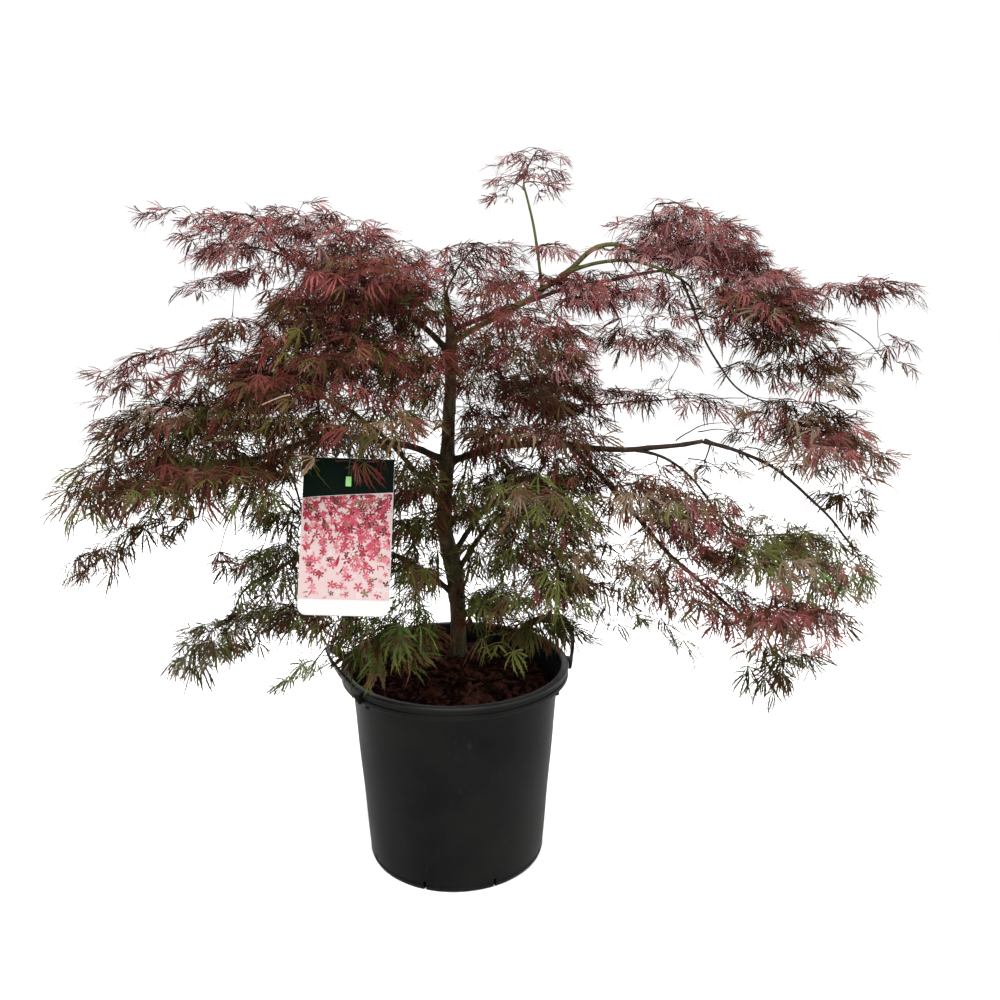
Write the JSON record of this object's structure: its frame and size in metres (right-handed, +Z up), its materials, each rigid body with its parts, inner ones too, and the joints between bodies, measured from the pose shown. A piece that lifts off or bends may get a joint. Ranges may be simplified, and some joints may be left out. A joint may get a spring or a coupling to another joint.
{
  "type": "potted japanese maple",
  "caption": "Small weeping Japanese maple with finely cut burgundy and green foliage on a single slim trunk, in a round dark nursery pot with side grips and a hanging card.",
  "frame": {"origin": "centre of the pot's flat underside, on the ground it stands on", "axes": "+Z up; -Y is the front, where the card hangs; +X is to the right seen from the front"},
  "size_m": [1.0064, 0.5908, 0.8633],
  "materials": {
    "pot": "satin moulded plastic, near-black grey",
    "soil": "dark reddish-brown bark mulch",
    "bark": "smooth brown-green young bark",
    "card": null,
    "foliage_burgundy": "burgundy cut leaves",
    "foliage_bronze": "bronze cut leaves",
    "foliage_green": "green cut leaves"
  },
  "bodies": {
    "root": {"pot": "pot", "grip_right": "pot", "grip_left": "pot", "soil": "soil", "trunk": "bark", "label_card": "card", "mass_left_top": "foliage_burgundy", "mass_left_skirt": "foliage_burgundy", "mass_left_shoulder": "foliage_burgundy", "mass_left_dome": "foliage_burgundy", "mass_left_spray": "foliage_burgundy", "mass_left_shelf_mid": "foliage_bronze", "mass_left_shelf_low": "foliage_bronze", "mass_left_tuft": "foliage_bronze", "mass_front_left": "foliage_bronze", "mass_left_low_inner": "foliage_green", "mass_left_low_fall": "foliage_green", "mass_label_side": "foliage_green", "mass_rim_left": "foliage_green", "mass_ridge": "foliage_burgundy", "mass_centre_red": "foliage_burgundy", "mass_centre_brown": "foliage_bronze", "mass_centre_fall": "foliage_green", "mass_rim_right": "foliage_green", "mass_leader": "foliage_burgundy", "mass_shoulder_red": "foliage_burgundy", "mass_right_top": "foliage_burgundy", "mass_right_outer": "foliage_burgundy", "mass_right_star": "foliage_burgundy", "mass_right_thread": "foliage_bronze", "mass_right_inner": "foliage_bronze", "mass_right_cascade_up": "foliage_bronze", "mass_right_cascade_low": "foliage_bronze", "mass_right_low_upper": "foliage_bronze", "mass_right_green": "foliage_green", "mass_right_low_red": "foliage_burgundy", "mass_right_tuft": "foliage_green", "mass_right_stray": "foliage_green", "mass_back_left_high": "foliage_burgundy", "mass_back_left_low": "foliage_bronze", "mass_back_middle": "foliage_bronze", "mass_back_middle_low": "foliage_green", "mass_back_right_high": "foliage_burgundy", "mass_back_right_low": "foliage_green", "bough_right_arch_inner": "bark", "bough_right_arch_outer": "bark", "bough_right_low": "bark", "bough_right_drop": "bark", "bough_top_right": "bark", "shoot_upper": "bark", "shoot_lower": "bark", "shoot_fall": "bark", "leader_stem": "bark", "bough_left_top": "bark", "bough_left_dark": "bark", "bough_left_low": "bark", "fork_right_low": "bark", "bough_back_left": "bark", "bough_back_right": "bark", "bough_back_low": "bark"}
  },
  "joints": []
}
